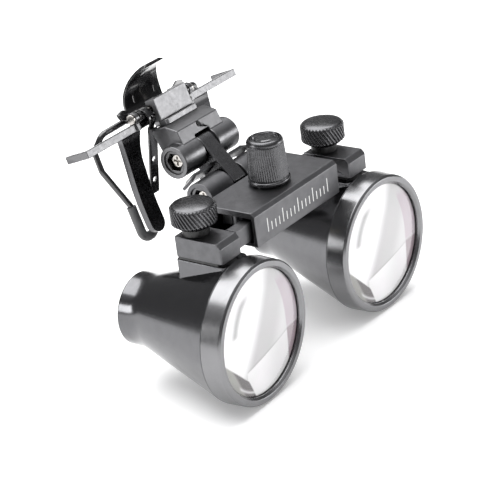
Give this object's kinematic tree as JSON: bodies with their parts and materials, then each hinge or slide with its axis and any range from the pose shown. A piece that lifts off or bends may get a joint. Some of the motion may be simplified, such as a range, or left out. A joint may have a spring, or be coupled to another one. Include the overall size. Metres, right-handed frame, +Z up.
{
  "type": "clip-on binocular loupe",
  "caption": "Clip-on binocular loupe: two tapered Galilean barrels on a rack-and-pinion bridge, carried by a double hinge from a sprung spectacle clip.",
  "frame": {"origin": "middle of the spectacle clip's jaws, between the front prongs and the sprung rear wires", "axes": "+Z up, -Y the way the lenses look, X across the face"},
  "size_m": [0.085, 0.05, 0.0684],
  "materials": {
    "satin_black": "satin black anodised, fine blasted grain",
    "bead_blasted_black": "bead-blasted dark grey anodised",
    "satin_grey": "satin grey paint on sheet steel",
    "gloss_black": "gloss black paint",
    "barrel_black": "semi-gloss black paint on a turned and milled casting",
    "bezel_black": "satin black anodised, turned",
    "knurled_black": "black anodised, knurled, bright worn edges",
    "bright_steel": "polished steel",
    "spring_steel": "spring steel, brushed",
    "brass": "machined brass",
    "sleeve_rubber": "matt black rubber",
    "nylon_black": "black nylon",
    "matt_black": "flocked matt black",
    "coated_glass": "clear optical glass with a faint magenta anti-reflection coating"
  },
  "bodies": {
    "clip": {"hinge_bracket": "satin_black", "clip_base": "satin_grey", "clip_block": "satin_grey", "clip_frame": "satin_grey", "pivot_pin": "bright_steel", "lever_spring": "spring_steel", "left_strip": "gloss_black", "right_strip": "gloss_black", "base_screws": "bright_steel", "friction_set_screw": "bright_steel", "upper_hinge_screw": "bright_steel", "upper_hinge_nut": "bright_steel", "upper_socket_rings": "satin_black", "upper_hinge_washers": "spring_steel"},
    "lever": {"lever_plate": "gloss_black", "finger_lever": "gloss_black", "left_wire": "gloss_black", "right_wire": "gloss_black", "left_sleeve": "sleeve_rubber", "right_sleeve": "sleeve_rubber"},
    "link": {"hinge_link": "satin_black", "stop_leaf": "spring_steel"},
    "bridge": {"bridge_housing": "bead_blasted_black", "bridge_cover": "bead_blasted_black", "cover_screws": "bright_steel", "knob_bush": "gloss_black", "lower_hinge_screw": "bright_steel", "lower_hinge_nut": "bright_steel", "lower_socket_rings": "satin_black", "lower_hinge_washers": "spring_steel"},
    "knob": {"focus_knob": "knurled_black", "knob_cap": "satin_black", "pinion_shaft": "brass", "pinion_circlip": "spring_steel"},
    "left_slide": {"left_slider": "bead_blasted_black", "left_swivel_washer": "nylon_black", "left_clamp_collar": "gloss_black"},
    "left_clamp": {"left_clamp_head": "knurled_black", "left_clamp_stud": "bright_steel"},
    "left_optic": {"left_barrel": "barrel_black", "left_bezel": "bezel_black", "left_objective": "coated_glass", "left_seal": "sleeve_rubber", "left_baffle": "matt_black", "left_eye_lens": "coated_glass", "left_eye_ring": "matt_black"},
    "right_slide": {"right_slider": "bead_blasted_black", "right_swivel_washer": "nylon_black", "right_clamp_collar": "gloss_black"},
    "right_clamp": {"right_clamp_head": "knurled_black", "right_clamp_stud": "bright_steel"},
    "right_optic": {"right_barrel": "barrel_black", "right_bezel": "bezel_black", "right_objective": "coated_glass", "right_seal": "sleeve_rubber", "right_baffle": "matt_black", "right_eye_lens": "coated_glass", "right_eye_ring": "matt_black"}
  },
  "joints": [
    {"name": "upper_hinge", "type": "hinge", "parent": "clip", "child": "link", "pos_m": [0, -0.0083, 0.0083], "axis": [-1, 0, 0], "range_deg": [-15, 50]},
    {"name": "lower_hinge", "type": "hinge", "parent": "link", "child": "bridge", "pos_m": [0, -0.0156, 0.00055], "axis": [-1, 0, 0], "range_deg": [-20, 10]},
    {"name": "lever_press", "type": "hinge", "parent": "clip", "child": "lever", "pos_m": [0, 0.00219, 0.0181], "axis": [1, 0, 0], "range_deg": [0, 25], "stiffness_Nm_per_rad": 0.05, "springref_deg": -17.19, "deforming": ["lever_spring"]},
    {"name": "left_travel", "type": "slide", "parent": "bridge", "child": "left_slide", "axis": [-1, 0, 0], "range_m": [-0.003, 0.007]},
    {"name": "right_travel", "type": "slide", "parent": "bridge", "child": "right_slide", "axis": [1, 0, 0], "range_m": [-0.003, 0.007]},
    {"name": "knob_turn", "type": "hinge", "parent": "bridge", "child": "knob", "pos_m": [0, -0.0278, 0], "axis": [0, 0, -1], "range_deg": [-70, 162]},
    {"name": "left_swivel", "type": "hinge", "parent": "left_slide", "child": "left_optic", "pos_m": [-0.0256, -0.0255, 0], "axis": [0, 0, 1], "range_deg": [-3, 3]},
    {"name": "left_clamp_turn", "type": "hinge", "parent": "left_slide", "child": "left_clamp", "pos_m": [-0.0256, -0.0255, 0], "axis": [0, 0, 1], "range_deg": [-180, 180]},
    {"name": "right_swivel", "type": "hinge", "parent": "right_slide", "child": "right_optic", "pos_m": [0.0256, -0.0255, 0], "axis": [0, 0, -1], "range_deg": [-3, 3]},
    {"name": "right_clamp_turn", "type": "hinge", "parent": "right_slide", "child": "right_clamp", "pos_m": [0.0256, -0.0255, 0], "axis": [0, 0, 1], "range_deg": [-180, 180]}
  ],
  "couplings": [
    {"joint": "right_travel", "follows": "left_travel", "ratio": 1},
    {"joint": "knob_turn", "follows": "left_travel", "rad_per_m": 400}
  ]
}
